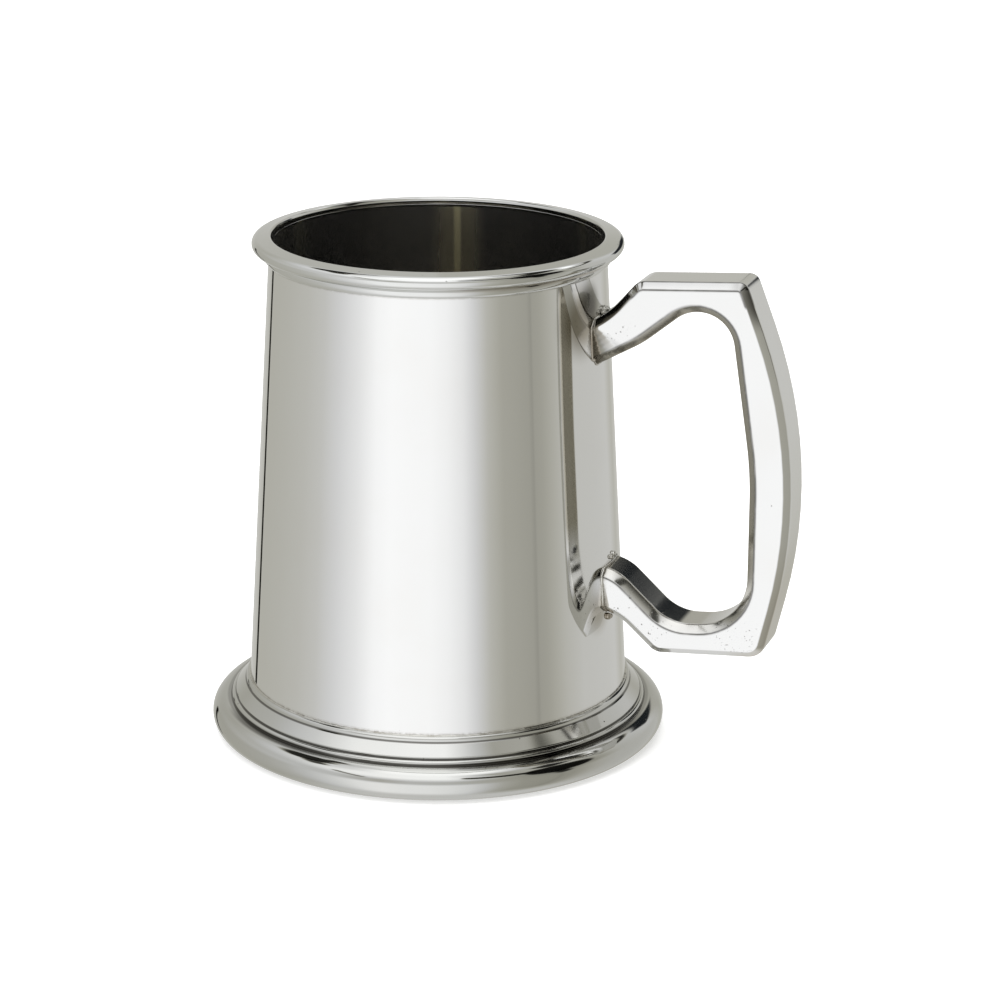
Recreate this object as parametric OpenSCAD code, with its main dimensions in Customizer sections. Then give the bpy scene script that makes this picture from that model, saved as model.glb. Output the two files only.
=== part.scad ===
// Pewter tankard: a tapered drum with a moulded rim, a spun foot and a cast D handle.
// Lengths are in millimetres. Z points up and Z = 0 is the surface it stands on.
// The handle points along +X and the drum's axis is the Z axis.

/* [Drum] */
// Height from the table to the top of the rim
total_h = 120; // [112:1:130]
// Outside radius of the drum where the rim covers its top end
drum_top_r = 38.98; // [36:0.01:41]
// Lean of the drum's side from the vertical, in degrees
drum_lean = 3.25; // [2:0.25:4]
// Thickness of the drum's wall
wall = 1; // [0.8:0.1:1.4]
// Height of the drum's lower end, inside the foot
drum_bottom_z = 10.6; // [10.4:0.1:11]
// Thickness of the floor plate
floor_t = 1.4; // [1:0.1:2]

/* [Rim] */
// Depth of the rim moulding
rim_depth = 5.8; // [5.6:0.1:6.2]
// How far the drum's top end stops below the top of the rim
lip_t = 1.4; // [1.2:0.1:1.6]
// Radius of the roll at the rim's outside
roll_r = 1.5; // [1.3:0.1:1.6]
// Distance of the roll's centre outside the drum's top end
roll_out = 2.57; // [2.42:0.05:3.5]
// Radius that the collar's bead is turned to
collar_r = 1.5; // [1.45:0.05:1.6]
// Radius of the rim's inner edge
lip_edge_r = 0.45; // [0.3:0.05:0.5]

/* [Foot] */
// Height of the top of the foot, where the drum comes out of it
foot_top_z = 13.25; // [13.1:0.05:13.4]
// Radius of the big roll of the foot
foot_roll_r = 3.82; // [3.7:0.02:3.9]
// Distance of the foot roll's centre outside the drum at the top of the foot
foot_spread = 5.34; // [5.24:0.1:6]
// Thickness of the foot's shell
foot_t = 1.2; // [1:0.1:1.4]
// Width of the flat ring that the tankard stands on
rest_w = 2.2; // [1.6:0.1:2.4]

/* [Handle] */
// Thickness of the handle from cheek to cheek
handle_t = 13.2; // [11:0.1:15]
// Width of the bevels round the handle's cheeks
handle_bevel = 1.6; // [1:0.1:2]
// Upward lean of the handle, in degrees, so that it stands square to the drum's side
handle_lean = 4; // [3:0.25:5]
// Height of the middle of the handle above the table
handle_mid_z = 69; // [66:0.5:72]
// Half of the handle's height
handle_half_h = 44.1; // [43.5:0.1:45]
// Reach of the handle's back from the drum
handle_reach = 50.75; // [49:0.25:53]

/* [Solder] */
// Height of the solder fillets round the handle's ends
handle_fillet = 0.9; // [0.6:0.1:1.2]
// Side of the solder fillets along the rings
ring_fillet = 0.5; // [0.4:0.05:0.6]

/* [Hidden] */

pewter = "#c9c7c1";
polished = "#d6d4cf";
solder = "#9b9a95";
$fn = 180;
arc_steps = 10;

drum_top_z = total_h - lip_t;
floor_top_z = drum_bottom_z + floor_t;
rim_bottom_z = total_h - rim_depth;

// Outside and inside radius of the drum's wall at a height
function drum_out(z) = drum_top_r + (drum_top_z - z) * tan(drum_lean);
function drum_in(z) = drum_out(z) - wall;

// The handle's outline is drawn from this point, just inside the drum's wall at half its height
handle_root_x = drum_out(handle_mid_z) - 0.8;
// Height of the middle of each strut's end from the handle's middle, and half of the strut's height
upper_strut = [29.8, 5.3];
lower_strut = [-29.3, 5.4];

// Points on an arc about c, from angle a0 to angle a1
function arc(c, r, a0, a1, steps = arc_steps) =
    [for (i = [0 : steps]) let (a = a0 + (a1 - a0) * i / steps) c + r * [cos(a), sin(a)]];

// One rounded corner of an outline. a, b and c are its neighbours and itself, r its radius
function unit(v) = v / norm(v);
function rounded_corner(a, b, c, r) =
    let (to_a = unit(a - b), to_c = unit(c - b), half = acos(to_a * to_c) / 2)
    let (centre = b + unit(to_a + to_c) * r / sin(half), start = b + to_a * r / tan(half))
    let (end = b + to_c * r / tan(half), s = start - centre, e = end - centre)
    let (turn = atan2(s.x * e.y - s.y * e.x, s * e), a0 = atan2(s.y, s.x))
    arc(centre, r, a0, a0 + turn);

// An outline from a closed list of [x, y, radius] corners. A radius of 0 keeps the corner
function rounded(corners) =
    let (n = len(corners), at = function (i) let (p = corners[(i + n) % n]) [p.x, p.y])
    [for (i = [0 : n - 1]) each corners[i][2] == 0 ? [at(i)]
        : rounded_corner(at(i - 1), at(i), at(i + 1), corners[i][2])];

// The same closed outline, which runs clockwise, with every point moved inwards by a distance
function inset(points, by) =
    let (n = len(points), inwards = function (v) let (u = unit(v)) [u.y, -u.x])
    [for (i = [0 : n - 1])
        let (m = inwards(points[i] - points[(i + n - 1) % n]))
        let (k = inwards(points[(i + 1) % n] - points[i]))
        points[i] + (m + k) * by / (1 + m * k)];

// ---- drum and floor ----

module drum() {
    color(polished)
        rotate_extrude()
            polygon([
                [drum_in(drum_bottom_z), drum_bottom_z],
                [drum_out(drum_bottom_z), drum_bottom_z],
                [drum_out(drum_top_z), drum_top_z],
                [drum_in(drum_top_z), drum_top_z]
            ]);
}

module floor_plate() {
    color(pewter)
        rotate_extrude()
            polygon([
                [0, drum_bottom_z],
                [drum_in(drum_bottom_z), drum_bottom_z],
                [drum_in(floor_top_z), floor_top_z],
                [0, floor_top_z]
            ]);
}

// ---- rim: a lip, a roll, a cove and a small collar that grips the drum ----

module rim_moulding() {
    collar_inset = 0.4;
    collar_up = 1.15;
    roll_down = 1.9;
    lip_inset = 0.95;
    collar_c = [drum_out(rim_bottom_z) - collar_inset, rim_bottom_z + collar_up];
    roll_c = [drum_top_r + roll_out, total_h - roll_down];
    lip_c = [drum_in(drum_top_z) + lip_inset, total_h - lip_edge_r];
    color(polished)
        rotate_extrude()
            polygon(concat(
                [[drum_out(rim_bottom_z), rim_bottom_z]],
                arc(collar_c, collar_r, -50, 40),
                arc(roll_c, roll_r, -110, 80),
                arc(lip_c, lip_edge_r, 90, 180),
                [[drum_in(drum_top_z), drum_top_z], [drum_out(drum_top_z), drum_top_z]]
            ));
}

// ---- foot: a seat for the drum, a small bead, a sloping band, two fillets and a big roll ----

module foot_moulding() {
    seat_r = drum_out(foot_top_z);
    // A point so far outside the drum and so far below the top of the foot
    from_seat = function (out, down) [seat_r + out, foot_top_z - down];
    bead_r = 0.8;
    small_fillet_r = 0.25;
    big_fillet_r = 0.6;
    roll_c = [seat_r + foot_spread, foot_roll_r];
    rest_r = roll_c.x - rest_w;
    ledge = 2.6;
    seat_in_r = drum_out(drum_bottom_z) - ledge;
    color(polished)
        rotate_extrude()
            polygon(concat(
                [from_seat(0, 0)],
                arc(from_seat(0.24, bead_r), bead_r, 80, 0),
                [from_seat(1.09, 1.3), from_seat(3.39, 3.8)],
                arc(from_seat(3.34, 4.05), small_fillet_r, 45, -60, 4),
                [from_seat(3.49, 4.5)],
                arc(from_seat(3.89, 5.1), big_fillet_r, 100, -20, 6),
                [from_seat(4.44, 5.7)],
                arc(roll_c, foot_roll_r, 96, -90),
                [[rest_r, 0], [rest_r, foot_t]],
                arc(roll_c, foot_roll_r - foot_t, -90, 90),
                [from_seat(3.34, 6.85), from_seat(2.24, 5.25)],
                [[seat_in_r, drum_bottom_z - foot_t], [seat_in_r, drum_bottom_z],
                 [drum_out(drum_bottom_z), drum_bottom_z]]
            ));
}

// ---- handle: a cast plate in the shape of a D, bevelled all round, coped to the drum ----

// Corners as [out from the drum, up from the middle, radius]; the start is the upper root
upper_outside = [[-6, 31.4, 0], [4.6, 36.9, 20], [11.9, handle_half_h, 4], [37, handle_half_h, 2.5]];
back = [[handle_reach, 0, 110]];
lower_outside = [[37, -handle_half_h, 4.5], [11.4, -handle_half_h, 4], [3.4, -35.9, 12], [-6, -32.2, 0]];
lower_opening = [[-6, -21.6, 0], [4, -25.2, 11], [15, -36.8, 11], [33.4, -36.8, 12]];
grip_inside = [[35.9, 0, 90]];
upper_opening = [[33.07, 34.15, 8.2], [24.27, 38.26, 8.2], [12, 29.6, 30], [-6, 21.2, 0]];
handle_outline = rounded(concat(upper_outside, back, lower_outside, lower_opening, grip_inside, upper_opening));

// A plate with bevelled edges: the cheeks are the outline drawn inwards. The outline's first half
// runs along the outside and its second half back along the opening, with as many points
module bevelled_plate(outline, t, bevel) {
    n = len(outline);
    cheek = inset(outline, bevel);
    at_y = function (points, y) [for (p = points) [p.x, y, p.y]];
    points = concat(
        at_y(cheek, -t / 2), at_y(outline, bevel - t / 2),
        at_y(outline, t / 2 - bevel), at_y(cheek, t / 2)
    );
    across = [for (i = [0 : n / 2 - 2]) [i, i + 1, n - 2 - i, n - 1 - i]];
    far_across = [for (q = across) [for (k = [3 : -1 : 0]) 3 * n + q[k]]];
    sides = [for (k = [0 : n : 2 * n], i = [0 : n - 1])
        let (j = (i + 1) % n) [k + n + i, k + n + j, k + j, k + i]];
    polyhedron(points, concat(across, sides, far_across));
}

module handle_blank() {
    translate([handle_root_x, 0, handle_mid_z])
        rotate([0, -handle_lean, 0])
            bevelled_plate(handle_outline, handle_t, handle_bevel);
}

// The drum's outside as a solid cone, with its skin moved outwards by a distance
module drum_cone(proud = 0) {
    cylinder(h = total_h, r1 = drum_out(0) + proud, r2 = drum_out(total_h) + proud);
}

module handle() {
    color(polished)
        difference() {
            handle_blank();
            drum_cone();
        }
}

// ---- solder ----

// A fillet in the corner between a ring and the drum's outside, above or below height z
module ring_solder(z, side) {
    color(solder)
        rotate_extrude()
            polygon([
                [drum_out(z), z],
                [drum_out(z) + ring_fillet, z],
                [drum_out(z + side * ring_fillet), z + side * ring_fillet]
            ]);
}

module rim_solder() {
    ring_solder(rim_bottom_z, -1);
}

module foot_solder() {
    ring_solder(foot_top_z, 1);
}

module floor_solder() {
    leg = 2 * ring_fillet;
    color(solder)
        rotate_extrude()
            polygon([
                [drum_in(floor_top_z) - leg, floor_top_z],
                [drum_in(floor_top_z), floor_top_z],
                [drum_in(floor_top_z + leg), floor_top_z + leg]
            ]);
}

// A fillet round one end of the handle: a patch of skin on the drum with the strut taken out
module strut_solder(strut) {
    w = handle_t / 2 + handle_fillet;
    h = strut[1] + handle_fillet;
    c = handle_bevel + handle_fillet / 2;
    color(solder)
        difference() {
            intersection() {
                drum_cone(handle_fillet);
                translate([0, 0, handle_mid_z + strut[0]])
                    rotate([90, 0, 90])
                        linear_extrude(2 * handle_root_x)
                            polygon([
                                [-w, c - h], [c - w, -h], [w - c, -h], [w, c - h],
                                [w, h - c], [w - c, h], [c - w, h], [-w, h - c]
                            ]);
            }
            drum_cone();
            handle_blank();
        }
}

module upper_handle_solder() {
    strut_solder(upper_strut);
}

module lower_handle_solder() {
    strut_solder(lower_strut);
}

drum();
rim_moulding();
floor_plate();
foot_moulding();
handle();
rim_solder();
floor_solder();
foot_solder();
upper_handle_solder();
lower_handle_solder();
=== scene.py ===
"""Pewter tankard: the looks. Turned shells, a cast handle and solder seams, built round the CAD frame."""
import math

import bmesh
import bpy
from mathutils import Matrix, Vector, noise


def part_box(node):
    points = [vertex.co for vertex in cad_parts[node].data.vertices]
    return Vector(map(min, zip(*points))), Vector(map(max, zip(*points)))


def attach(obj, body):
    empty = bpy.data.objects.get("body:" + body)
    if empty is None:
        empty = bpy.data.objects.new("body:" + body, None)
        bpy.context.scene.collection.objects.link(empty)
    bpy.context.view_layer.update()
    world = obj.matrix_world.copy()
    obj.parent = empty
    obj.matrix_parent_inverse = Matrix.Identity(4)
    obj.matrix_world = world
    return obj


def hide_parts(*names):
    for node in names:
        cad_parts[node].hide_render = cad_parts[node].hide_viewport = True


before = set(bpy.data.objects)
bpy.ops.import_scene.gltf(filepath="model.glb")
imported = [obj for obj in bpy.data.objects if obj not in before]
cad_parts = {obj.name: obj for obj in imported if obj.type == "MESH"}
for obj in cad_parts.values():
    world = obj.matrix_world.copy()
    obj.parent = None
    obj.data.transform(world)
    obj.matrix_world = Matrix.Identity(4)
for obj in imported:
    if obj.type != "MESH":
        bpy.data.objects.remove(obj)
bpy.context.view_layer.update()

# Blender's noise vectors start from the clock unless they are seeded
noise.seed_set(3)

MM = 0.001


# ---------------------------------------------------------------- sizes, in millimetres, from the frame

def extent(node):
    """A CAD node's lowest and highest corners in millimetres."""
    low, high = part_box(node)
    return low / MM, high / MM


LEAN = math.tan(math.radians(3.25))
WALL = 1.0
drum_low, drum_high = extent("drum")
rim_low, rim_high = extent("rim_moulding")
foot_low, foot_high = extent("foot_moulding")
floor_low, floor_high = extent("floor_plate")
handle_low, handle_high = extent("handle")
DRUM_BOTTOM = drum_low.z
DRUM_TOP = drum_high.z
DRUM_FOOT_R = drum_high.x
TOP = rim_high.z
RIM_BOTTOM = rim_low.z
RIM_R = rim_high.x
FOOT_R = foot_high.x
FOOT_TOP = foot_high.z
FLOOR_TOP = floor_high.z


def drum_out(z):
    """Outside radius of the drum at a height."""
    return DRUM_FOOT_R - (z - DRUM_BOTTOM) * LEAN


def drum_in(z):
    """Inside radius of the drum at a height."""
    return drum_out(z) - WALL


# ---------------------------------------------------------------- node trees as Python expressions

class Num:
    """A number in a node tree. Arithmetic on it adds Math nodes."""

    def __init__(self, tree, socket):
        self.tree = tree
        self.socket = socket

    def __add__(self, other):
        return self.tree.math("ADD", self, other)

    def __sub__(self, other):
        return self.tree.math("SUBTRACT", self, other)

    def __rsub__(self, other):
        return self.tree.math("SUBTRACT", other, self)

    def __mul__(self, other):
        return self.tree.math("MULTIPLY", self, other)

    def __truediv__(self, other):
        return self.tree.math("DIVIDE", self, other)

    __radd__ = __add__
    __rmul__ = __mul__


class Tree:
    """Builds a node tree. add() makes any node; its outputs come back as Num or as plain sockets."""

    def __init__(self, tree):
        self.tree = tree

    def add(self, kind, settings=None, inputs=None, out=0):
        """A node of a type, with its settings made first and then its sockets' values or links."""
        node = self.tree.nodes.new(kind)
        for name, value in (settings or {}).items():
            if name == "stops":
                self.fill_ramp(node.color_ramp, value)
            else:
                setattr(node, name, value)
        for name, value in (inputs or {}).items():
            self.feed(node.inputs[name], value)
        socket = node.outputs[out] if node.outputs else None
        return Num(self, socket) if socket is not None and socket.type in ("VALUE", "INT", "BOOLEAN") else socket

    def feed(self, socket, value):
        """Gives a socket a link or a constant."""
        if isinstance(value, Num):
            value = value.socket
        if isinstance(value, bpy.types.NodeSocket):
            self.tree.links.new(value, socket)
        else:
            socket.default_value = value

    @staticmethod
    def fill_ramp(ramp, stops):
        """Sets a ramp's stops from (place, grey or colour) pairs."""
        while len(ramp.elements) > 1:
            ramp.elements.remove(ramp.elements[-1])
        for i, (place, shade) in enumerate(stops):
            stop = ramp.elements[0] if i == 0 else ramp.elements.new(place)
            stop.position = place
            stop.color = (*shade, 1) if isinstance(shade, tuple) else (shade, shade, shade, 1)

    def math(self, operation, *values):
        return self.add("ShaderNodeMath", {"operation": operation}, dict(enumerate(values)))

    def split(self, vector):
        """The three parts of a vector."""
        node = self.tree.nodes.new("ShaderNodeSeparateXYZ")
        self.feed(node.inputs[0], vector)
        return [Num(self, s) for s in node.outputs]

    def vector(self, x, y, z):
        return self.add("ShaderNodeCombineXYZ", inputs={0: x, 1: y, 2: z})

    def step(self, value, start, end):
        """0 at start and 1 at end, with a smooth rise between them. start may be the larger."""
        return self.add(
            "ShaderNodeMapRange", {"interpolation_type": "SMOOTHSTEP"},
            {"Value": value, "From Min": start, "From Max": end})

    def mix(self, factor, a, b):
        """Colour a where factor is 0 and colour b where it is 1."""
        return self.add("ShaderNodeMix", {"data_type": "RGBA"}, {0: factor, 6: a, 7: b}, out=2)

    def noise(self, at, scale, detail=2.0, rough=0.5):
        return self.add("ShaderNodeTexNoise", None,
                        {"Vector": at, "Scale": scale, "Detail": detail, "Roughness": rough})


def rgb(r, g, b):
    return (r, g, b, 1.0)


# ---------------------------------------------------------------- camera, floor and studio

VIEW_TURN = math.radians(20)
VIEW_DISTANCE = 0.7418
VIEW_ABOVE_TOP = 0.1683
VIEW_PITCH = math.radians(17.43)


def make_camera():
    data = bpy.data.cameras.new("camera")
    data.sensor_width = 36
    data.lens = 118.3
    data.shift_x = 0.062
    camera = bpy.data.objects.new("camera", data)
    bpy.context.scene.collection.objects.link(camera)
    camera.location = (
        VIEW_DISTANCE * math.sin(VIEW_TURN), -VIEW_DISTANCE * math.cos(VIEW_TURN), TOP * MM + VIEW_ABOVE_TOP)
    camera.rotation_euler = (math.pi / 2 - VIEW_PITCH, 0, VIEW_TURN)
    bpy.context.scene.camera = camera


def make_floor():
    """A pale sheet. Mirror-bright pewter would show nothing but it, so only the studio is seen in the metal."""
    mesh = bpy.data.meshes.new("floor")
    half = 4.0
    corners = [(-half, -half, 0), (half, -half, 0), (half, half, 0), (-half, half, 0)]
    mesh.from_pydata(corners, [], [(0, 1, 2, 3)])
    floor = bpy.data.objects.new("floor", mesh)
    bpy.context.scene.collection.objects.link(floor)
    material = bpy.data.materials.new("pale_paper")
    material.use_nodes = True
    shader = material.node_tree.nodes["Principled BSDF"]
    shader.inputs["Base Color"].default_value = rgb(0.9, 0.9, 0.9)
    shader.inputs["Roughness"].default_value = 0.9
    shader.inputs["Specular IOR Level"].default_value = 0.0
    shader.inputs["Emission Color"].default_value = rgb(1.0, 1.0, 1.0)
    shader.inputs["Emission Strength"].default_value = 0.45
    mesh.materials.append(material)
    floor.visible_glossy = False


# Places in the studio are given as degrees to the right of the camera and degrees above the horizon.
# The tent's brightness all round: at the horizon, from 18 degrees up, and from 54 degrees up
WALL_LEVEL = [
    (-180, 0.64), (-165, 0.60), (-152, 0.55), (-142, 0.50), (-115, 0.54), (-95, 0.58), (-80, 0.64), (-67, 0.76),
    (-52, 0.94), (-40, 1.13), (-30, 1.18), (-5, 1.15), (6, 1.08), (16, 0.95), (24, 0.74), (32, 0.56), (42, 0.45),
    (61, 0.40), (63, 0.345), (64.5, 0.40), (70, 0.42), (85, 0.55), (100, 0.62), (140, 0.64), (152, 0.52),
    (165, 0.58), (180, 0.64)]
WALL_ABOVE = [
    (-180, 0.58), (-150, 0.52), (-120, 0.62), (-78, 0.74), (-54, 0.74), (-40, 0.64), (-30, 0.56), (-14, 0.70),
    (6, 0.66), (30, 0.52), (46, 0.42), (64, 0.30), (86, 0.40), (104, 0.60), (138, 0.72), (152, 0.54), (180, 0.50)]
WALL_HIGH = [
    (-180, 0.95), (-150, 0.80), (-114, 0.95), (-90, 1.0), (-66, 1.3), (-20, 1.4), (6, 1.4), (20, 1.1), (32, 0.8),
    (46, 0.52), (90, 0.60), (112, 0.60), (135, 0.70), (160, 1.0), (180, 0.95)]
# Dark flags as (from, to, half width, softness, how dark), each a straight stroke from one place to another
DARK_FLAGS = [
    ((-148, -22), (-148, 1), 2.0, 0.8, 1.0),
    ((-160, 51), (-122, 57), 7, 2, 0.97),
    ((-122, 58), (-93, 55), 4.0, 2, 0.92),
    ((-64, 45), (-42, 35), 2.2, 1.5, 0.80),
    ((20, 50), (52, 43), 5.5, 2, 0.93),
    ((66, 33), (72, 33), 17.5, 1.8, 0.98),
    ((63, 18), (65, 8), 4.5, 2, 0.93),
    ((100, 35), (150, 38), 1.8, 1.2, 0.97),
    ((80, 56), (156, 58), 6, 2, 0.96)]
WHITE_CARD = ((120, 47), (150, 46), 2.5, 2.0)
TENT_TOP = rgb(1.5, 1.5, 1.5)
TENT_FLOOR = rgb(0.78, 0.775, 0.76)
COOL_WHITE = rgb(1.0, 1.005, 1.015)
WARM_GREY = rgb(1.0, 0.985, 0.87)


def make_studio():
    """A soft tent: white overhead and to the camera's left, greyer to the right and behind, with dark flags."""
    world = bpy.data.worlds.new("studio")
    bpy.context.scene.world = world
    world.use_nodes = True
    t = Tree(world.node_tree)
    world.node_tree.nodes.clear()
    x, y, z = t.split(t.add("ShaderNodeTexCoord", out="Generated"))
    across = x * math.cos(VIEW_TURN) + y * math.sin(VIEW_TURN)
    toward = x * math.sin(VIEW_TURN) - y * math.cos(VIEW_TURN)
    turn = t.math("ARCTAN2", across, toward) * math.degrees(1)
    lift = t.math("ARCSINE", z) * math.degrees(1)

    def around(stops):
        """A ramp round the tent, from (degrees right of the camera, brightness) pairs."""
        pairs = [((degrees + 180) / 360, grey) for degrees, grey in stops]
        return t.add("ShaderNodeValToRGB", {"stops": pairs}, {"Fac": turn / 360 + 0.5})

    def stroke(start, end, half, soft):
        """1 along a straight stroke between two places, falling softly to 0."""
        run = (end[0] - start[0], end[1] - start[1])
        length = math.hypot(*run)
        right = turn - start[0]
        up = lift - start[1]
        along = t.math("MINIMUM", t.math("MAXIMUM", right * (run[0] / length) + up * (run[1] / length), 0.0), length)
        off_right = right - along * (run[0] / length)
        off_up = up - along * (run[1] / length)
        gap = t.math("SQRT", off_right * off_right + off_up * off_up)
        return t.step(gap, half + soft, half - min(soft, half))

    tent = t.mix(t.step(lift, -45, -75), around(WALL_LEVEL), TENT_FLOOR)
    tent = t.mix(t.step(lift, 2, 18), tent, around(WALL_ABOVE))
    tent = t.mix(t.step(lift, 26, 54), tent, around(WALL_HIGH))
    tent = t.mix(t.step(lift, 66, 80), tent, TENT_TOP)
    tent = t.mix(stroke(*WHITE_CARD), tent, TENT_TOP)
    for start, end, half, soft, depth in DARK_FLAGS:
        tent = t.mix(stroke(start, end, half, soft) * depth, tent, rgb(0.0, 0.0, 0.0))
    bright = t.split(tent)[0]
    tint = t.mix(t.step(bright, 0.80, 0.40), COOL_WHITE, WARM_GREY)
    tent = t.add("ShaderNodeMix", {"data_type": "RGBA", "blend_type": "MULTIPLY"}, {0: 1.0, 6: tent, 7: tint}, out=2)
    is_camera = t.add("ShaderNodeLightPath", out="Is Camera Ray")
    seen = t.mix(is_camera, tent, rgb(1.0, 1.0, 1.0))
    light = t.add("ShaderNodeBackground", None, {"Color": seen, "Strength": 1.0})
    t.add("ShaderNodeOutputWorld", None, {"Surface": light})


# The black card: the place it is seen from, its direction from there in degrees, and its sizes in metres
CARD_SEEN_FROM = Vector((0.051, 0.0, 0.038))
CARD_TURN = math.radians(153)
CARD_LIFT = math.radians(22)
CARD_DISTANCE = 0.30
CARD_HALF_WIDTH = 0.11
CARD_HALF_HEIGHT = 0.06


def make_card():
    """A small black card behind the handle, which shows as a dark band on the top of the lower strut."""
    turn = CARD_TURN
    out = Vector((math.sin(turn) * math.cos(VIEW_TURN) + math.cos(turn) * math.sin(VIEW_TURN),
                  math.sin(turn) * math.sin(VIEW_TURN) - math.cos(turn) * math.cos(VIEW_TURN),
                  math.tan(CARD_LIFT))).normalized()
    side = out.cross(Vector((0, 0, 1))).normalized()
    up = side.cross(out)
    middle = CARD_SEEN_FROM + out * CARD_DISTANCE
    mesh = bpy.data.meshes.new("black_card")
    corners = [middle + side * (a * CARD_HALF_WIDTH) + up * (b * CARD_HALF_HEIGHT)
               for a, b in ((-1, -1), (1, -1), (1, 1), (-1, 1))]
    mesh.from_pydata(corners, [], [(0, 1, 2, 3)])
    card = bpy.data.objects.new("black_card", mesh)
    bpy.context.scene.collection.objects.link(card)
    material = bpy.data.materials.new("black_felt")
    material.use_nodes = True
    material.node_tree.nodes.clear()
    t = Tree(material.node_tree)
    away = t.add("ShaderNodeVectorMath", {"operation": "SUBTRACT"},
                 {0: t.add("ShaderNodeTexCoord", out="Object"), 1: tuple(middle)})
    reach = [t.math("ABSOLUTE", t.add("ShaderNodeVectorMath", {"operation": "DOT_PRODUCT"},
                                      {0: away, 1: tuple(axis)}, out="Value")) for axis in (side, up)]
    solid = t.step(reach[0], 0.092, 0.064) * t.step(reach[1], 0.046, 0.028)
    black = t.add("ShaderNodeEmission", None, {"Color": rgb(0.015, 0.018, 0.021)})
    clear = t.add("ShaderNodeBsdfTransparent")
    felt = t.add("ShaderNodeMixShader", None, {0: solid, 1: clear, 2: black})
    t.add("ShaderNodeOutputMaterial", None, {"Surface": felt})
    mesh.materials.append(material)
    card.visible_camera = False
    card.visible_diffuse = False
    card.visible_shadow = False


def make_softbox():
    """One big soft light overhead, which lights the floor and gives the foot its soft shadow."""
    data = bpy.data.lights.new("softbox", "AREA")
    data.shape = "RECTANGLE"
    data.size = 1.6
    data.size_y = 1.6
    data.energy = 18
    softbox = bpy.data.objects.new("softbox", data)
    bpy.context.scene.collection.objects.link(softbox)
    softbox.location = (0, 0, 1.8)
    softbox.visible_glossy = False


# ---------------------------------------------------------------- materials

PEWTER = rgb(0.80, 0.80, 0.79)
RIM_PEWTER = rgb(0.70, 0.705, 0.69)
FOOT_PEWTER = rgb(0.61, 0.612, 0.59)
FLOOR_PEWTER = rgb(0.50, 0.47, 0.40)
INSIDE_PEWTER = rgb(0.60, 0.595, 0.58)
# Painted highlight: the warm glow and the lighter core of a streak down the inside wall
PAINTED_STREAK_GLOW = rgb(0.66, 0.60, 0.42)
PAINTED_STREAK_LIGHT = rgb(0.72, 0.66, 0.42)
DULL_PEWTER = rgb(0.66, 0.63, 0.57)
HAZE = rgb(0.74, 0.715, 0.67)
SOLDER = rgb(0.66, 0.65, 0.61)
SOLDER_BROWN = rgb(0.24, 0.19, 0.13)
# Painted reflection: brown and dark colours of the handle's reflection on the drum by its joints
PAINTED_REFLECTION_BROWN = rgb(0.34, 0.29, 0.20)
PAINTED_REFLECTION_DARK = rgb(0.20, 0.17, 0.11)
# Painted shade on the handle's inner face
PAINTED_GRIP_SHADE = rgb(0.34, 0.31, 0.23)
# Painted reflection: brown in the rim's cove
PAINTED_COVE_REFLECTION = rgb(0.33, 0.28, 0.21)
PIT_DARK = rgb(0.10, 0.09, 0.075)
OXIDE = rgb(0.30, 0.27, 0.22)
# Painted shade: near black for dark lines in creases and along edges, and for dark reflections
PAINTED_SHADE = rgb(0.08, 0.075, 0.065)

# Places in the row frame, in millimetres. The handle's near cheek is at CHEEK_Y
CHEEK_Y = -6.6
LOWER_CORNER = (75.5, CHEEK_Y, 33)
LOWER_STRUT = (54.8, CHEEK_Y, 33.5)
LOWER_JOINT = (47, CHEEK_Y, 37.5)
LOWER_GRIP = (82, 0, 33)
LOWER_SEAM = (43.8, -5.5, 33.5)
UPPER_JOINT = (46, CHEEK_Y, 103)
UPPER_CORNER = (78, -6, 112)
UPPER_SEAM = (41, CHEEK_Y, 98.5)
DRUM_BY_UPPER_JOINT = (38.5, -10, 105)
DRUM_BY_UPPER_SEAM = (39.1, -7.2, 108)
DRUM_ABOVE_LOWER_JOINT = (41, -10, 47)
DRUM_BY_LOWER_JOINT = (41.5, -8.5, 35.5)
# Direction of the painted highlight streak down the inside wall, in degrees round the axis from the handle
STREAK_TURN = 102.6


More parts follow.
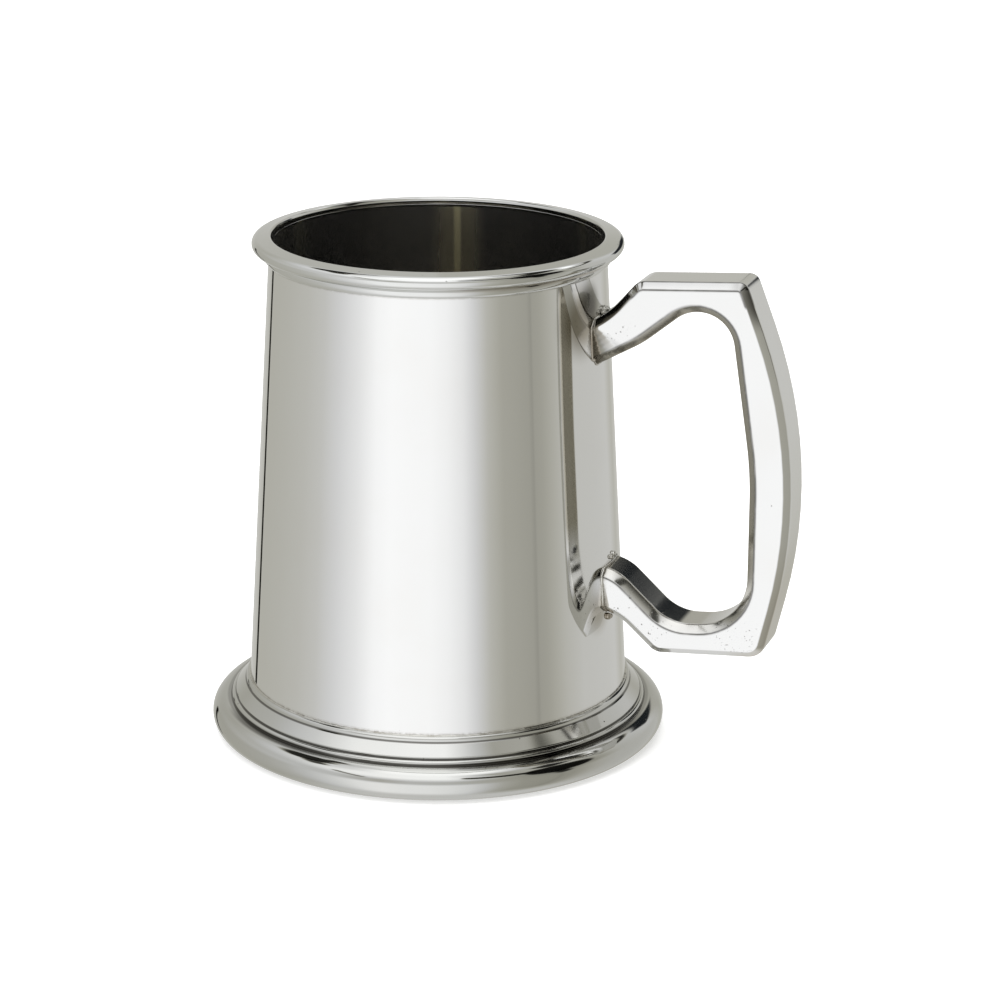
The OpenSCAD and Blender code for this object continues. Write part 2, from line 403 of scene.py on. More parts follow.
class Finish:
    """A metal finish being worked out: its colour, its roughness and the height of its surface in metres."""

    def __init__(self, name, colour, roughness):
        self.material = bpy.data.materials.new(name)
        self.material.use_nodes = True
        self.material.node_tree.nodes.clear()
        self.t = Tree(self.material.node_tree)
        self.at = self.t.add("ShaderNodeTexCoord", out="Object")
        self.x, self.y, self.z = self.t.split(self.at)
        self.r = self.t.math("SQRT", self.x * self.x + self.y * self.y)
        self.colour = colour
        self.roughness = roughness
        self.height = 0.0

    def tint(self, mask, colour):
        self.colour = self.t.mix(mask, self.colour, colour)

    def roughen(self, mask, amount):
        self.roughness = mask * amount + self.roughness

    def raise_by(self, mask, metres):
        self.height = mask * metres + self.height

    def near(self, place, full, none):
        """1 within a distance of an (x, y, z) place, falling to 0. All in millimetres."""
        gap = self.t.add("ShaderNodeVectorMath", {"operation": "DISTANCE"},
                         {0: self.at, 1: tuple(c * MM for c in place)}, out="Value")
        return self.t.step(gap, none * MM, full * MM)

    def ring(self, r, z, full, none):
        """1 within a distance of a circle round the axis, falling to 0. All in millimetres."""
        dr = self.r - r * MM
        dz = self.z - z * MM
        return self.t.step(self.t.math("SQRT", dr * dr + dz * dz), none * MM, full * MM)

    def mark(self, name):
        """A number kept on the piece's own points."""
        return self.t.add("ShaderNodeAttribute", {"attribute_name": name}, out="Fac")

    def toward_angle(self, degrees, full, none):
        """1 within an angle of a direction round the axis, falling to 0."""
        turn = math.radians(degrees)
        ahead = self.x * math.cos(turn) + self.y * math.sin(turn)
        return self.t.step(ahead / self.r, math.cos(math.radians(none)), math.cos(math.radians(full)))

    def polish(self, wave_um, haze):
        """Slow waves left by the buffing wheel, a little haze, and very fine wiping scratches."""
        t = self.t
        wave = t.noise(self.at, 55, 1.0)
        self.raise_by(wave, wave_um * 1e-6)
        cloud = t.noise(self.at, 35, 4.0, 0.6)
        self.roughen(t.step(cloud, 0.45, 0.8), haze)
        self.tint(t.step(cloud, 0.4, 0.9) * 0.25, HAZE)
        for k, (sx, sy, sz) in enumerate(((1, 1, 22), (20, 1, 4))):
            streak = t.noise(t.vector(self.x * sx, self.y * sx + k, self.z * sz), 160 / sy, 3.0, 0.7)
            self.raise_by(t.step(streak, 0.62, 0.72), -0.25e-6)

    def turning(self, depth_um):
        """Fine rings left by the lathe."""
        rings = self.t.noise(self.t.vector(self.r * 1.0, 0.0, self.z), 1400, 2.0)
        self.raise_by(rings, depth_um * 1e-6)

    def pits(self, where, per_metre, share, depth_um, size=0.24, ragged=0.5):
        """Small ragged pits in a share of the cells of a grid, where a mask allows them."""
        t = self.t
        torn = t.add("ShaderNodeTexNoise", None, {"Vector": self.at, "Scale": per_metre * 1.8}, out="Color")
        moved = t.add("ShaderNodeVectorMath", {"operation": "MULTIPLY_ADD"},
                      {0: torn, 1: (ragged / per_metre,) * 3, 2: self.at})
        cell = t.add("ShaderNodeTexVoronoi", None, {"Vector": moved, "Scale": per_metre}, out="Color")
        gap = t.add("ShaderNodeTexVoronoi", None, {"Vector": moved, "Scale": per_metre}, out="Distance")
        chance, wide, _ = t.split(cell)
        hole = t.step(gap / (wide * 0.8 + 0.3), size, size * 0.4) * t.step(chance, 1 - share, 1 - share + 0.02)
        hole = hole * where
        self.raise_by(hole, -depth_um * 1e-6)
        self.tint(hole, PIT_DARK)
        self.roughen(hole, 0.4)

    def oxide(self, mask, strength=0.7):
        """Dark tarnish, broken up by fine noise."""
        grain = self.t.noise(self.at, 900, 4.0, 0.7)
        patch = mask * self.t.step(grain, 0.25, 0.6) * strength
        self.tint(patch, OXIDE)
        self.roughen(patch, 0.28)

    def done(self):
        t = self.t
        bump = t.add("ShaderNodeBump", None, {"Strength": 1.0, "Distance": 1.0, "Height": self.height})
        shader = t.add("ShaderNodeBsdfPrincipled", None, {
            "Base Color": self.colour, "Metallic": 1.0, "Roughness": self.roughness, "Normal": bump})
        t.add("ShaderNodeOutputMaterial", None, {"Surface": shader})
        return self.material


def drum_finish():
    f = Finish("mirror_pewter", PEWTER, 0.035)
    f.polish(3.0, 0.03)
    f.turning(0.10)
    f.oxide(f.ring(drum_out(FOOT_TOP), FOOT_TOP + 0.2, 0.1, 0.7), 0.35)
    f.oxide(f.ring(drum_out(RIM_BOTTOM), RIM_BOTTOM, 0.1, 0.6), 0.4)
    f.pits(f.ring(drum_out(FOOT_TOP), FOOT_TOP + 0.4, 0.2, 0.9), 2600, 0.07, 12)
    # Painted reflection: dark patches on the drum above the upper joint and a brown one by the lower joint, in place
    # of the handle's reflection
    f.tint(f.near(DRUM_BY_UPPER_JOINT, 3, 11) * 0.85, PAINTED_REFLECTION_DARK)
    f.tint(f.near(DRUM_BY_UPPER_SEAM, 1.5, 6) * 0.75, PAINTED_SHADE)
    f.roughen(f.near(DRUM_ABOVE_LOWER_JOINT, 4, 11), 0.05)
    f.tint(f.near(DRUM_BY_LOWER_JOINT, 1.5, 7) * 0.6, PAINTED_REFLECTION_BROWN)
    inside = f.t.step(f.r + f.z * LEAN, (drum_out(0) - 0.35 * WALL) * MM, (drum_out(0) - 0.65 * WALL) * MM)
    below_lip = f.t.step(f.z, (DRUM_TOP - 0.2) * MM, (DRUM_TOP - 0.9) * MM)
    f.tint(inside * below_lip, INSIDE_PEWTER)
    f.roughen(inside * below_lip, 0.165)
    # Painted highlight: a warm, lighter and rougher streak down the inside wall, standing in for light caught there
    painted_glow = inside * below_lip * f.toward_angle(STREAK_TURN, 0.5, 11)
    f.tint(painted_glow * 0.8, PAINTED_STREAK_GLOW)
    f.roughen(painted_glow, 0.10)
    painted_streak = inside * below_lip * f.toward_angle(STREAK_TURN + 0.4, 0.2, 1.7)
    f.tint(painted_streak, PAINTED_STREAK_LIGHT)
    f.roughen(painted_streak, 0.12)
    return f.done()


def rim_finish():
    f = Finish("rim_pewter", RIM_PEWTER, 0.06)
    f.polish(4.0, 0.05)
    f.turning(0.15)
    # Painted shadow: a dark ring in the crease under the roll
    f.tint(f.ring(drum_out(RIM_BOTTOM) + 0.6, RIM_BOTTOM + 2.35, 0.08, 0.35) * 0.7, PAINTED_SHADE)
    # Painted reflection: a brown patch in the cove, on the side towards the handle, in place of the handle's
    # reflection
    cove = f.ring(drum_out(RIM_BOTTOM) + 0.9, RIM_BOTTOM + 2.2, 0.5, 1.5)
    f.tint(cove * f.toward_angle(-24, 12, 50) * 0.55, PAINTED_COVE_REFLECTION)
    f.pits(f.t.step(f.r, 38 * MM, 39 * MM), 900, 0.035, 8)
    return f.done()


def foot_finish():
    f = Finish("foot_pewter", FOOT_PEWTER, 0.055)
    f.polish(5.0, 0.05)
    f.turning(0.15)
    # Painted shade: dark rings in the foot's creases and a softer one at the top of the roll
    for r, z in ((46.0, 11.95), (48.4, 8.8), (49.45, 7.6)):
        f.tint(f.ring(r, z, 0.12, 0.42) * 0.85, PAINTED_SHADE)
    f.tint(f.ring(49.9, 7.6, 0.3, 0.9) * 0.4, PAINTED_SHADE)
    # Painted reflection: dark patches in the hollow above the roll, at two directions round the axis
    hollow = f.ring(50.2, 7.6, 0.5, 1.4)
    f.tint(hollow * f.toward_angle(-34, 16, 42) * 0.85, PAINTED_SHADE)
    f.tint(hollow * f.toward_angle(-122, 9, 26) * 0.75, PAINTED_SHADE)
    f.pits(f.t.step(f.r, 44 * MM, 45 * MM), 800, 0.03, 8)
    return f.done()


def floor_finish():
    f = Finish("dull_pewter", FLOOR_PEWTER, 0.24)
    f.polish(6.0, 0.1)
    f.turning(1.2)
    f.oxide(f.t.step(f.r, 30 * MM, 43 * MM), 0.6)
    return f.done()


def handle_finish():
    f = Finish("cast_pewter", PEWTER, 0.085)
    f.polish(9.0, 0.06)
    corner = f.near(LOWER_CORNER, 2, 7.5)
    strut = f.near(LOWER_STRUT, 1.5, 6)
    joint = f.near(LOWER_JOINT, 1, 5)
    upper = f.near(UPPER_JOINT, 1, 5)
    clustered = f.t.step(f.t.noise(f.at, 330, 2.0), 0.47, 0.56)
    f.pits(corner * clustered, 1700, 0.62, 50, 0.42, 1.1)
    f.pits((strut + joint) * clustered, 1900, 0.55, 40, 0.40, 1.1)
    f.pits(upper * clustered, 1900, 0.50, 40, 0.38, 1.1)
    dull = f.near(LOWER_GRIP, 8, 26) * f.t.step(f.x, 70 * MM, 78 * MM)
    f.tint(dull * f.mark("bevel") * 0.8, DULL_PEWTER)
    f.pits(f.t.step(f.x, 38 * MM, 40 * MM), 700, 0.02, 15)
    root = f.t.step(f.r + f.z * LEAN, (drum_out(0) + 1.4) * MM, (drum_out(0) + 0.2) * MM)
    f.oxide(root, 0.45)
    # Painted shade: the handle's inner face, towards the drum, is darkened and dulled, most above 50 mm
    painted_inner_shade = f.mark("inside") * (f.t.step(f.z, 42 * MM, 50 * MM) * 0.55 + 0.3)
    f.tint(painted_inner_shade, PAINTED_GRIP_SHADE)
    f.roughen(painted_inner_shade, 0.12)
    # Painted shade: broken dark lines along the inner bevel's edge and the top of the outer bevel, and a dark patch
    # on the bevel by the upper corner
    broken = f.t.step(f.t.noise(f.at, 240, 3.0), 0.30, 0.55)
    f.tint(f.mark("edge") * (broken * 0.35 + 0.6), PAINTED_SHADE)
    top = f.t.step(f.z, 109.5 * MM, 110.5 * MM) * f.t.step(f.x, 77.5 * MM, 76 * MM)
    f.tint(f.mark("rim_edge") * top * (broken * 0.2 + 0.8), PAINTED_SHADE)
    slope = f.mark("bevel") * f.t.step(f.t.math("ABSOLUTE", f.y), 5.0 * MM, 5.3 * MM)
    f.tint(slope * f.near(UPPER_CORNER, 2.5, 8) * 0.9, PAINTED_SHADE)
    return f.done()


def solder_finish():
    f = Finish("solder", SOLDER, 0.10)
    f.raise_by(f.t.noise(f.at, 700, 2.0), 4e-6)
    f.oxide(f.t.step(f.t.noise(f.at, 260, 3.0), 0.48, 0.62), 0.5)
    f.tint(f.near(UPPER_SEAM, 2, 8) * 0.7, SOLDER_BROWN)
    f.tint(f.near(LOWER_SEAM, 1.5, 5) * 0.7, SOLDER_BROWN)
    return f.done()


# ---------------------------------------------------------------- outlines

def arc(cx, cy, radius, start, end, step=7.0):
    """Points on an arc, with angles in degrees, as corners that are already smooth."""
    count = max(2, round(abs(end - start) / step))
    turns = [math.radians(start + (end - start) * i / count) for i in range(count + 1)]
    return [(cx + radius * math.cos(a), cy + radius * math.sin(a), 0) for a in turns]


def corner_arc(before, corner, after, radius, count):
    """The points of a rounded corner, and nothing but the corner where its radius is 0."""
    if radius == 0:
        return [corner]
    to_before = (before - corner).normalized()
    to_after = (after - corner).normalized()
    half = math.acos(max(-1.0, min(1.0, to_before.dot(to_after)))) / 2
    centre = corner + (to_before + to_after).normalized() * radius / math.sin(half)
    start = corner + to_before * radius / math.tan(half) - centre
    end = corner + to_after * radius / math.tan(half) - centre
    turn = math.atan2(start.x * end.y - start.y * end.x, start.dot(end))
    first = math.atan2(start.y, start.x)
    angles = [first + turn * i / count for i in range(count + 1)]
    return [centre + radius * Vector((math.cos(a), math.sin(a))) for a in angles]


def straight(start, end, longest, hold=0.12):
    """Points between two places, with one close to each end so that the shading keeps to the edge."""
    length = (end - start).length
    if length <= longest:
        return []
    count = max(1, math.ceil(length / longest))
    places = [hold / length] + [i / count for i in range(1, count)] + [1 - hold / length]
    return [start.lerp(end, p) for p in places]


def closed_outline(corners, longest=1.6):
    """A closed outline from (r, z, radius) corners, rounded and with its long sides divided."""
    flat = [Vector((c[0], c[1])) for c in corners]
    rounded = []
    for i, corner in enumerate(corners):
        rounded += corner_arc(flat[i - 1], flat[i], flat[(i + 1) % len(flat)], corner[2], 5)
    out = []
    for i, point in enumerate(rounded):
        after = rounded[(i + 1) % len(rounded)]
        out += [point] + straight(point, after, longest)
    return out


# ---------------------------------------------------------------- lathe

def lathe_tree():
    """Geometry nodes that turn a closed outline, a loop of points in the XZ plane, round the Z axis."""
    group = bpy.data.node_groups.new("lathe", "GeometryNodeTree")
    face = group.interface
    face.new_socket("Geometry", in_out="INPUT", socket_type="NodeSocketGeometry")
    face.new_socket("Segments", in_out="INPUT", socket_type="NodeSocketInt")
    face.new_socket("Points", in_out="INPUT", socket_type="NodeSocketInt")
    face.new_socket("Material", in_out="INPUT", socket_type="NodeSocketMaterial")
    face.new_socket("Geometry", in_out="OUTPUT", socket_type="NodeSocketGeometry")
    t = Tree(group)
    given = group.nodes.new("NodeGroupInput")
    outline, material = given.outputs["Geometry"], given.outputs["Material"]
    segments, points = Num(t, given.outputs["Segments"]), Num(t, given.outputs["Points"])
    grid = t.add("GeometryNodeMeshGrid", None, {"Vertices X": segments + 1, "Vertices Y": points + 1})
    index = t.add("GeometryNodeInputIndex")
    column = t.math("FLOOR", index / (points + 1))
    row = t.math("MODULO", index, points + 1)
    place = t.add("GeometryNodeSampleIndex", {"data_type": "FLOAT_VECTOR", "domain": "POINT"}, {
        "Geometry": outline, "Value": t.add("GeometryNodeInputPosition"), "Index": t.math("MODULO", row, points)})
    radius, _, height = t.split(place)
    angle = t.math("MODULO", column, segments) / segments * (2 * math.pi)
    turned = t.vector(radius * t.math("COSINE", angle), radius * t.math("SINE", angle), height)
    shaped = t.add("GeometryNodeSetPosition", None, {"Geometry": grid, "Position": turned})
    merged = t.add("GeometryNodeMergeByDistance", None, {"Geometry": shaped, "Distance": 1e-6})
    smooth = t.add("GeometryNodeSetShadeSmooth", None, {"Geometry": merged})
    real = t.add("GeometryNodeRealizeInstances", None, {"Geometry": smooth})
    painted = t.add("GeometryNodeSetMaterial", None, {"Geometry": real, "Material": material})
    t.feed(group.nodes.new("NodeGroupOutput").inputs[0], painted)
    return group


def with_nodes(name, mesh, group, values):
    """Runs a geometry tree on a mesh and returns a plain mesh object."""
    source = bpy.data.objects.new(name + "_source", mesh)
    bpy.context.scene.collection.objects.link(source)
    modifier = source.modifiers.new("nodes", "NODES")
    modifier.node_group = group
    for item in group.interface.items_tree:
        if item.item_type == "SOCKET" and item.in_out == "INPUT" and item.name in values:
            modifier[item.identifier] = values[item.name]
    bpy.context.view_layer.update()
    shown = source.evaluated_get(bpy.context.evaluated_depsgraph_get())
    result = bpy.data.meshes.new_from_object(shown)
    bpy.data.objects.remove(source)
    return finished(name, result)


def finished(name, mesh):
    """An object for a mesh, with its faces turned outwards."""
    bm = bmesh.new()
    bm.from_mesh(mesh)
    bmesh.ops.remove_doubles(bm, verts=bm.verts, dist=1e-7)
    bmesh.ops.recalc_face_normals(bm, faces=bm.faces)
    if bm.calc_volume(signed=True) < 0:
        bmesh.ops.reverse_faces(bm, faces=bm.faces)
    bm.to_mesh(mesh)
    bm.free()
    mesh.shade_smooth()
    mesh.name = name
    piece = bpy.data.objects.new(name, mesh)
    bpy.context.scene.collection.objects.link(piece)
    return piece


def loop_mesh(name, points):
    """A closed loop of edges through points in metres."""
    mesh = bpy.data.meshes.new(name)
    mesh.from_pydata(points, [(i, (i + 1) % len(points)) for i in range(len(points))], [])
    return mesh


def turn_on_lathe(name, corners, material, segments=256, longest=1.6):
    outline = closed_outline(corners, longest)
    loop = loop_mesh(name + "_outline", [(p.x * MM, 0, p.y * MM) for p in outline])
    return with_nodes(name, loop, LATHE, {"Segments": segments, "Points": len(outline), "Material": material})


def drum_outline():
    return [(drum_in(DRUM_BOTTOM), DRUM_BOTTOM, 0.1), (drum_out(DRUM_BOTTOM), DRUM_BOTTOM, 0.1),
            (drum_out(DRUM_TOP), DRUM_TOP, 0.1), (drum_in(DRUM_TOP), DRUM_TOP, 0.1)]


def floor_outline():
    return [(0, DRUM_BOTTOM, 0), (drum_in(DRUM_BOTTOM), DRUM_BOTTOM, 0.1),
            (drum_in(FLOOR_TOP), FLOOR_TOP, 0.1), (0, FLOOR_TOP, 0)]


def rim_outline():
    """Collar, cove, roll and lip."""
    roll = 1.5
    collar_r = drum_out(RIM_BOTTOM) - 0.4
    lip_r = drum_in(DRUM_TOP)
    return ([(drum_out(RIM_BOTTOM), RIM_BOTTOM, 0)]
            + arc(collar_r, RIM_BOTTOM + 1.15, 1.5, -50, 40)
            + [(collar_r + 1.0, RIM_BOTTOM + 2.35, 0.12)]
            + arc(RIM_R - roll, TOP - 1.9, roll, -118, 80)
            + arc(lip_r + 0.95, TOP - 0.45, 0.45, 90, 180, 15)
            + [(lip_r, DRUM_TOP, 0), (drum_out(DRUM_TOP), DRUM_TOP, 0)])


def foot_outline():
    """Bead, sloping band, two fillets, the big roll and the ring it stands on."""
    roll = 3.82
    centre = FOOT_R - roll
    shell = 1.2
    seat = drum_out(DRUM_BOTTOM) - 2.6
    return ([(drum_out(FOOT_TOP), FOOT_TOP, 0)]
            + arc(45.2, FOOT_TOP - 0.8, 0.8, 85, 0, 15)
            + [(45.95, 12.0, 0.08), (46.3, 11.75, 0.12), (48.5, 9.35, 0.25), (48.35, 8.8, 0.1)]
            + arc(48.85, 8.15, 0.6, 100, -20, 15)
            + [(49.42, 7.6, 0.08)]
            + arc(centre, roll, roll, 97, -90)
            + [(centre - 2.2, 0, 0.2), (centre - 2.2, shell, 0.2)]
            + arc(centre, roll, roll - shell, -90, 90, 15)
            + [(48.3, 6.4, 0.3), (47.2, 8.0, 0.5), (seat, DRUM_BOTTOM - shell, 0.2), (seat, DRUM_BOTTOM, 0.2),
               (drum_out(DRUM_BOTTOM), DRUM_BOTTOM, 0)])


# ---------------------------------------------------------------- handle

HANDLE_T = handle_high.y - handle_low.y
HANDLE_LEAN = math.radians(4)
HANDLE_MID_Z = 69.0
HANDLE_ROOT_X = drum_out(HANDLE_MID_Z) - 0.8
HALF_H = 44.1
# Corners as (out from the drum, up from the middle, radius), from the upper root to the lower root
OUTSIDE = [(-6, 31.4, 0), (4.6, 36.9, 20), (11.9, HALF_H, 4), (37, HALF_H, 2.5), (50.75, 0, 110),
           (37, -HALF_H, 4.5), (11.4, -HALF_H, 4), (3.4, -35.9, 12), (-6, -32.2, 0)]
OPENING = [(-6, 21.2, 0), (12, 29.6, 30), (22.56, 37.05, 8.2), (32.83, 37.05, 8.2), (35.9, 0, 90),
           (33.4, -36.8, 12), (15, -36.8, 11), (4, -25.2, 11), (-6, -21.6, 0)]
ARC_STEPS = 12
OUTER_BEVEL = 1.6
INNER_BEVEL = 1.9
# Radius of the bevels' own edges, the flat zone kept beside them, and how much the cheeks swell
EDGE_ROUND = 0.9
EDGE_HOLD = 0.6
CROWN = 0.006
# How far the casting wanders from true, and the scale of the noise that it follows
WANDER = 0.014
WANDER_SCALE = 0.09


def paired_curves():
    """The outside and the opening as lists of the same length: arc matches arc and straight matches straight."""
    arcs = []
    for corners in (OUTSIDE, OPENING):
        flat = [Vector((c[0], c[1])) for c in corners]
        ends = len(corners) - 1
        arcs.append([corner_arc(flat[max(i - 1, 0)], flat[i], flat[min(i + 1, ends)], c[2], ARC_STEPS)
                     for i, c in enumerate(corners)])
    curves = ([], [])
    for k in range(len(OUTSIDE)):
        for side in (0, 1):
            curves[side].extend(arcs[side][k])
        if k + 1 < len(OUTSIDE):
            spans = [(arcs[side][k][-1], arcs[side][k + 1][0]) for side in (0, 1)]
            longest = max((b - a).length for a, b in spans)
            count = max(2, math.ceil(longest / 1.2))
            places = [0.04] + [i / count for i in range(1, count)] + [0.96]
            for side, (a, b) in enumerate(spans):
                curves[side].extend(a.lerp(b, p) for p in places)
    return curves


def inward(points, sign):
    """The unit vectors that point from a curve into the metal."""
    out = []
    for i in range(len(points)):
        run = (points[min(i + 1, len(points) - 1)] - points[max(i - 1, 0)]).normalized()
        out.append(Vector((run.y, -run.x)) * sign)
    return out


def edge_section(bevel):
    """Half of the handle's section, from cheek to cheek, as (depth below the edge, across) pairs."""
    half = HANDLE_T / 2
    corners = [(bevel + EDGE_HOLD, -half), (bevel, -half), (0, bevel - half), (0, half - bevel), (bevel, half),
               (bevel + EDGE_HOLD, half)]
    flat = [Vector(c) for c in corners]
    out = [flat[0]]
    for i in range(1, len(flat) - 1):
        rounded = corner_arc(flat[i - 1], flat[i], flat[i + 1], EDGE_ROUND, 6)
        out += straight(out[-1], rounded[0], 2.5, 0.15) + rounded
    return out + [flat[-1]]


def past_cheek(section, bevel):
    """How far round the corner from the cheek each point of a section is, from 0 to 1."""
    return [min(1.0, max(0.0, (bevel - depth) / 0.4)) for depth, _ in section]


def near_edges(section, bevel, both):
    """How close each point of a section is to the bevel's edge on the cheek, or to both its edges, from 0 to 1."""
    half = HANDLE_T / 2
    edges = [(bevel, half)] + [(0, half - bevel)] * both
    return [max(max(0.0, 1 - math.hypot(depth - e, abs(across) - a) / 0.42) for e, a in edges)
            for depth, across in section]


def across_cheek(start, end, swell):
    """Three points across a cheek from one (place, height) to another, swelling a little in the middle."""
    return [(start[0].lerp(end[0], k / 4), start[1] + swell * math.sin(math.pi * k / 4)) for k in (1, 2, 3)]


def handle_rings():
    """Closed rings of points across the handle, in millimetres, in the handle's own leaning frame."""
    outside, opening = paired_curves()
    out_in = inward(outside, 1)
    open_in = inward(opening, -1)
    outer, inner = edge_section(OUTER_BEVEL), edge_section(INNER_BEVEL)
    rings = []
    for p, n, q, m in zip(outside, out_in, opening, open_in):
        a = [(p + n * s.x, s.y) for s in outer]
        b = [(q + m * s.x, s.y) for s in reversed(inner)]
        section = a + across_cheek(a[-1], b[0], CROWN) + b + across_cheek(b[-1], a[0], -CROWN)
        rings.append([Vector((v.x, y, v.y)) for v, y in section])
    return rings


def to_row(v):
    """From the handle's leaning frame to the row frame, in millimetres."""
    c, s = math.cos(HANDLE_LEAN), math.sin(HANDLE_LEAN)
    return Vector((HANDLE_ROOT_X + v.x * c - v.z * s, v.y, HANDLE_MID_Z + v.x * s + v.z * c))


def onto_drum(inner, outer):
    """The place where the line from a point inside the drum to one outside it comes through the drum's side."""
    low, high = 0.0, 1.0
    for _ in range(30):
        mid = (low + high) / 2
        p = inner.lerp(outer, mid)
        if math.hypot(p.x, p.y) < drum_out(p.z):
            low = mid
        else:
            high = mid
    return inner.lerp(outer, high)


def cast_handle(material):
    """The handle, and the two rings where it meets the drum."""
    rings = [[to_row(v) for v in ring] for ring in handle_rings()]
    clear = [i for i, ring in enumerate(rings) if all(math.hypot(v.x, v.y) > drum_out(v.z) + 0.3 for v in ring)]
    first, last = clear[0], clear[-1]
    upper = [onto_drum(a, b) for a, b in zip(rings[0], rings[first])]
    lower = [onto_drum(a, b) for a, b in zip(rings[-1], rings[last])]
    rings = [upper] + rings[first:last + 1] + [lower]
    for ring in rings[2:-2]:
        for v in ring:
            v += noise.noise_vector(v * WANDER_SCALE) * WANDER
    size = len(rings[0])
    points = [v * MM for ring in rings for v in ring]
    outer, inner = edge_section(OUTER_BEVEL), edge_section(INNER_BEVEL)
    cheek = [0.0] * 3
    inside = [0.0] * len(outer) + cheek + past_cheek(inner[::-1], INNER_BEVEL) + cheek
    # edge and rim_edge mark where the painted shade lines along the bevels' edges go
    edge = [0.0] * len(outer) + cheek + near_edges(inner[::-1], INNER_BEVEL, 0) + cheek
    rim_edge = near_edges(outer, OUTER_BEVEL, 1) + cheek + [0.0] * len(inner) + cheek
    bevel = past_cheek(outer, OUTER_BEVEL) + cheek + [0.0] * len(inner) + cheek
    faces = [(k * size + i, k * size + (i + 1) % size, (k + 1) * size + (i + 1) % size, (k + 1) * size + i)
             for k in range(len(rings) - 1) for i in range(size)]
    faces += [tuple(range(size)), tuple(range((len(rings) - 1) * size, len(rings) * size))]
    mesh = bpy.data.meshes.new("handle")
    mesh.from_pydata(points, [], faces)
    mesh.materials.append(material)
    for name, marks in (("inside", inside), ("edge", edge), ("rim_edge", rim_edge), ("bevel", bevel)):
        layer = mesh.attributes.new(name, "FLOAT", "POINT")
        layer.data.foreach_set("value", marks * len(rings))
    return finished("cast_handle", mesh), upper, lower


# ---------------------------------------------------------------- solder

def bead_tree():
    """Geometry nodes that run a lumpy bead of solder along a closed path."""
    group = bpy.data.node_groups.new("solder_bead", "GeometryNodeTree")
    face = group.interface
    face.new_socket("Geometry", in_out="INPUT", socket_type="NodeSocketGeometry")
    for name in ("Radius", "Lumps", "Spacing"):
        face.new_socket(name, in_out="INPUT", socket_type="NodeSocketFloat")
    face.new_socket("Material", in_out="INPUT", socket_type="NodeSocketMaterial")
    face.new_socket("Geometry", in_out="OUTPUT", socket_type="NodeSocketGeometry")
    t = Tree(group)
    given = group.nodes.new("NodeGroupInput")
    radius, lumps, spacing = (Num(t, given.outputs[n]) for n in ("Radius", "Lumps", "Spacing"))
    curve = t.add("GeometryNodeMeshToCurve", None, {0: given.outputs["Geometry"]})
    even = t.add("GeometryNodeResampleCurve", {"mode": "LENGTH"}, {"Curve": curve, "Length": spacing})
    at = t.add("GeometryNodeInputPosition")
    size = radius * (1 + lumps * (t.noise(at, 450, 2.0) * 2.4 - 1.2))
    round_section = t.add("GeometryNodeCurvePrimitiveCircle", None, {"Resolution": 10, "Radius": 1.0})
    swept = t.add("GeometryNodeCurveToMesh", None, {"Curve": even, "Profile Curve": round_section, "Scale": size})
    smooth = t.add("GeometryNodeSetShadeSmooth", None, {"Geometry": swept})
    real = t.add("GeometryNodeRealizeInstances", None, {"Geometry": smooth})
    painted = t.add("GeometryNodeSetMaterial", None, {"Geometry": real, "Material": given.outputs["Material"]})
    t.feed(group.nodes.new("NodeGroupOutput").inputs[0], painted)
    return group


def solder_bead(name, path, material, radius, lumpy, spacing=0.35):
    """A bead of solder along a closed path of points in millimetres."""
    loop = loop_mesh(name + "_path", [p * MM for p in path])
    return with_nodes(name, loop, BEAD, {
        "Radius": radius * MM, "Lumps": lumpy, "Spacing": spacing * MM, "Material": material})


def add_lumps(piece, lumps):
    """Adds rounded lumps of solder at (x, y, z, radius) places in millimetres."""
    bm = bmesh.new()
    bm.from_mesh(piece.data)
    for x, y, z, radius in lumps:
        centre = Vector((x, y, z))
        ball = bmesh.ops.create_icosphere(bm, subdivisions=3, radius=radius * MM,
                                          matrix=Matrix.Translation(centre * MM))
        for v in ball["verts"]:
            v.co += noise.noise_vector(v.co * 900 + centre) * radius * 0.2 * MM
    for face in bm.faces:
        face.smooth = True
    bm.to_mesh(piece.data)
    bm.free()
    return piece


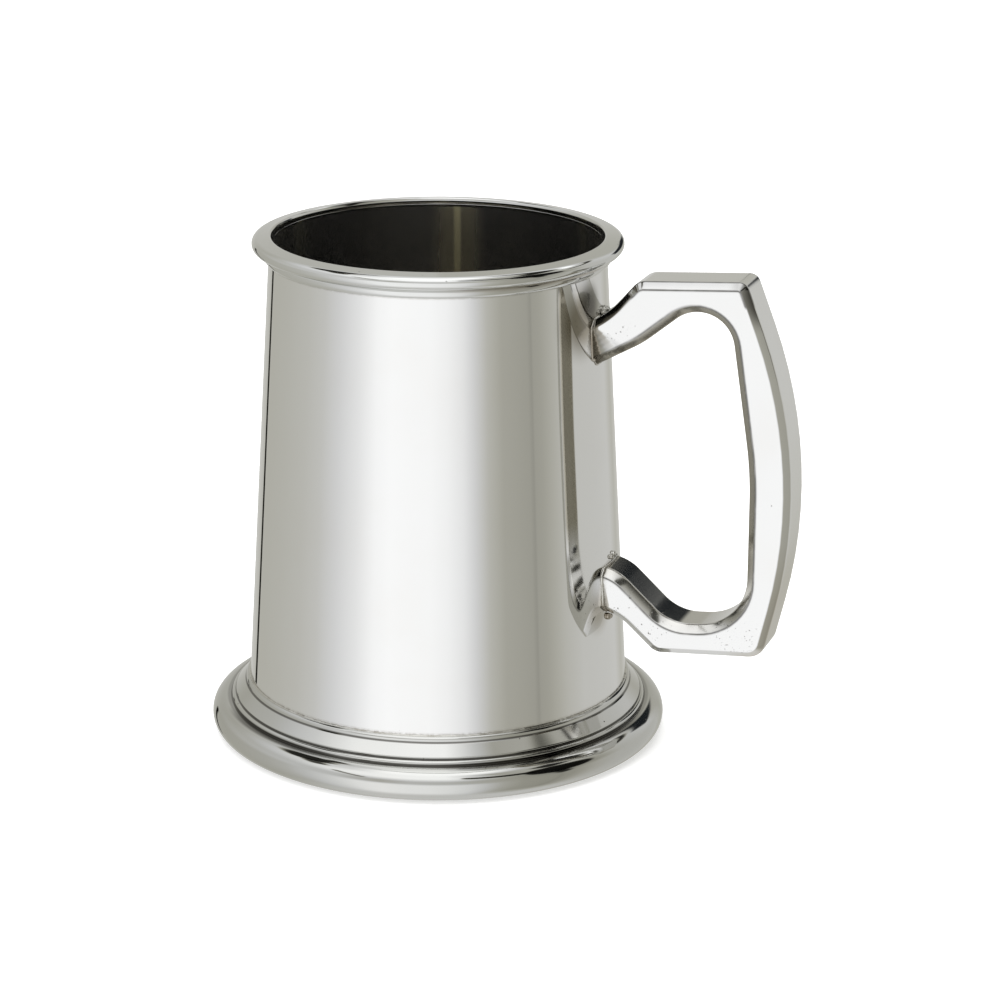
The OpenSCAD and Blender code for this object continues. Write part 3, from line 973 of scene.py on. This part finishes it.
# Lumps of solder at the handle's two joints, as (x, y, z, radius)
UPPER_LUMPS = ((40.1, 1.2, 105.3, 0.75), (40.3, -0.6, 104.9, 0.6), (40.4, 2.6, 104.9, 0.6), (40.0, -6.3, 95.0, 0.4))
LOWER_LUMPS = ((43.2, 0.9, 46.7, 0.7), (43.3, -1.0, 46.5, 0.55), (43.8, -4.4, 33.0, 0.8), (43.9, -2.8, 32.6, 0.6))


def ring_path(r, z, count=360):
    """A circle round the axis, in millimetres."""
    turns = [2 * math.pi * i / count for i in range(count)]
    return [Vector((r * math.cos(a), r * math.sin(a), z)) for a in turns]


# ---------------------------------------------------------------- the tankard

def place(piece, node, slot):
    """Ties a piece to the body and hides the CAD node it stands for. slot is not used."""
    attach(piece, "root")
    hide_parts(node)


LATHE = lathe_tree()
BEAD = bead_tree()

make_camera()
make_floor()
make_studio()
make_softbox()
make_card()
bpy.context.scene.view_settings.view_transform = "Standard"

solder = solder_finish()
handle, upper_root, lower_root = cast_handle(handle_finish())
place(turn_on_lathe("turned_drum", drum_outline(), drum_finish(), longest=3.0), "drum", "drum_pewter")
place(turn_on_lathe("turned_rim", rim_outline(), rim_finish()), "rim_moulding", "rim_pewter")
place(turn_on_lathe("turned_floor", floor_outline(), floor_finish(), longest=4.0), "floor_plate", "floor_pewter")
place(turn_on_lathe("turned_foot", foot_outline(), foot_finish()), "foot_moulding", "foot_pewter")
place(handle, "handle", "handle_pewter")
for seam, path, radius, lumpy, lumps in (
        ("rim", ring_path(drum_out(RIM_BOTTOM) + 0.05, RIM_BOTTOM), 0.1, 0.3, ()),
        ("floor", ring_path(drum_in(FLOOR_TOP) - 0.2, FLOOR_TOP + 0.1), 0.5, 0.3, ()),
        ("foot", ring_path(drum_out(FOOT_TOP) + 0.1, FOOT_TOP), 0.22, 0.4, ()),
        ("upper_handle", upper_root, 0.3, 0.5, UPPER_LUMPS),
        ("lower_handle", lower_root, 0.3, 0.5, LOWER_LUMPS)):
    bead = solder_bead(seam + "_seam", path, solder, radius, lumpy)
    add_lumps(bead, lumps)
    place(bead, seam + "_solder", "solder")
